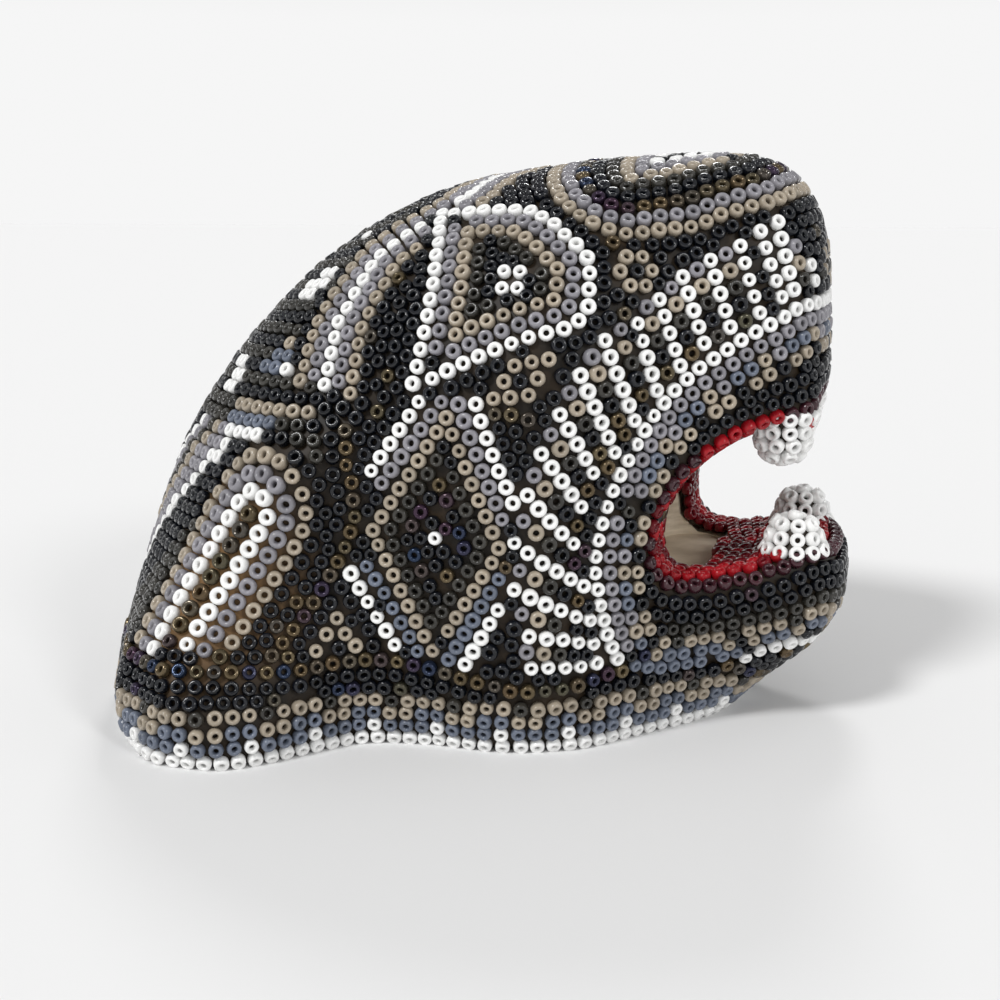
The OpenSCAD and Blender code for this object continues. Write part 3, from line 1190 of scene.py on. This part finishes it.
def fang_ring(middle, radius, slope, up, phase):
    """One ring of white beads, or the single bead at the tip."""
    if radius < 0.9:
        normal = Vector((0, 0, up))
        return [(middle - normal * BEAD_UP, normal, "white", 1.0)]
    count = int(2 * math.pi * radius / FANG_PITCH)
    ring = []
    for i in range(count):
        t = 2 * math.pi * (i + phase) / count
        c, s = math.cos(t), math.sin(t)
        place = Vector((middle.x + radius * c, middle.y + radius * s, middle.z))
        normal = Vector((slope.z * c, slope.z * s, -up * slope.x))
        ring.append((place - normal * BEAD_UP, normal, "white", 1.0))
    return ring


def fang_items(node, up):
    """The beads of a fang, which points up or down."""
    low, high = (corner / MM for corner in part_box(node))
    root = low.z if up > 0 else high.z
    middle = (low + high) / 2
    outline = fang_outline((high.x - low.x) / 2 - 0.72, high.z - low.z)
    items = []
    travelled, target, level = 0.0, FANG_START, 0
    for a, b in zip(outline, outline[1:]):
        travelled += (b - a).length
        if travelled >= target:
            target += FANG_ROW
            level += 1
            middle.z = root + up * b.z
            slope = (b - a).normalized()
            items += fang_ring(middle, b.x, slope, up, 0.5 * (level % 2))
    return items


for name in list(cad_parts):
    if name.startswith("fang_beads"):
        up = 1 if "lower" in name else -1
        piece = beads_mesh(name.replace("beads", "glass"), fang_items(name, up))
        finish_piece(piece, name)


# ------------------------------------------------------------ the wax and the wood


def bare(face):
    """Whether a face of the skin is over wood that has no wax."""
    p = face.calc_center_median() / MM
    return in_throat(p) or (p.z < 0.02 and face.normal.z < -0.9)


def finish_skin():
    """Opens the wax where the wood is bare, and puts it in the CAD layers' place."""
    mesh = bmesh.new()
    mesh.from_mesh(skin.data)
    doomed = [face for face in mesh.faces if bare(face)]
    bmesh.ops.delete(mesh, geom=doomed, context="FACES")
    mesh.to_mesh(skin.data)
    mesh.free()
    skin.data.materials.clear()
    skin.data.materials.append(WAX_WITH_PAINTED_SHADE)
    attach(skin, "root")
    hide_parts("wax_coat", "mouth_wax")


finish_skin()


def give(name, made):
    """Puts a material on a CAD node."""
    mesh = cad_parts[name].data
    mesh.materials.clear()
    mesh.materials.append(made)


give("wood_core", WOOD)
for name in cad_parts:
    if name.startswith("fang_peg"):
        give(name, WAX_WITH_PAINTED_SHADE)


# ------------------------------------------------------------------ the studio

FLOOR_SIDE = 8.0


def make_floor():
    mesh = bpy.data.meshes.new("floor")
    s = FLOOR_SIDE / 2
    mesh.from_pydata([(-s, -s, 0), (s, -s, 0), (s, s, 0), (-s, s, 0)], [], [(0, 1, 2, 3)])
    floor = bpy.data.objects.new("floor", mesh)
    bpy.context.scene.collection.objects.link(floor)
    made = bpy.data.materials.new("floor")
    made.use_nodes = True
    shader = made.node_tree.nodes["Principled BSDF"]
    shader.inputs["Base Color"].default_value = (0.8, 0.8, 0.8, 1)
    shader.inputs["Roughness"].default_value = 1
    shader.inputs["Specular IOR Level"].default_value = 0
    mesh.materials.append(made)


def make_light(name, place, strength):
    """A far, wide lamp that shines from a place towards the middle."""
    lamp = bpy.data.lights.new(name, "SUN")
    lamp.angle = math.radians(12)
    lamp.energy = strength
    obj = bpy.data.objects.new(name, lamp)
    obj.location = place
    obj.rotation_euler = Vector(place).to_track_quat("Z", "Y").to_euler()
    bpy.context.scene.collection.objects.link(obj)


def make_world():
    """Soft light from all round, paler towards the horizon than overhead."""
    world = bpy.data.worlds.new("studio")
    world.use_nodes = True
    nodes, links = world.node_tree.nodes, world.node_tree.links
    coords = nodes.new("ShaderNodeTexCoord")
    split = nodes.new("ShaderNodeSeparateXYZ")
    ramp = nodes.new("ShaderNodeValToRGB")
    ramp.color_ramp.elements[0].position = 0.12
    ramp.color_ramp.elements[0].color = (0.92, 0.92, 0.92, 1)
    ramp.color_ramp.elements[1].position = 0.5
    ramp.color_ramp.elements[1].color = (0.42, 0.42, 0.42, 1)
    links.new(coords.outputs["Generated"], split.inputs["Vector"])
    links.new(split.outputs["Z"], ramp.inputs["Fac"])
    links.new(ramp.outputs["Color"], nodes["Background"].inputs["Color"])
    bpy.context.scene.world = world


def make_camera():
    """A camera at the photograph's angle: 15 degrees round, 12 degrees up."""
    turn, rise = math.radians(15), math.radians(12)
    back = Vector((
        math.sin(turn) * math.cos(rise), -math.cos(turn) * math.cos(rise), math.sin(rise)
    ))
    target = Vector((1.51, 0, 25 + FOOT)) * MM
    data = bpy.data.cameras.new("camera")
    data.lens = 50.4
    data.sensor_width = 36
    data.clip_start = 0.01
    camera = bpy.data.objects.new("camera", data)
    camera.location = target + back * 205 * MM
    camera.rotation_euler = (-back).to_track_quat("-Z", "Y").to_euler()
    bpy.context.scene.collection.objects.link(camera)
    bpy.context.scene.camera = camera


make_floor()
make_light("key", (-0.35, -0.6, 0.75), 1.7)
make_light("fill", (0.7, -0.5, 0.5), 0.7)
make_light("back", (-0.1, 0.8, 0.8), 0.7)
bpy.context.scene.view_settings.view_transform = "Standard"
make_world()
make_camera()
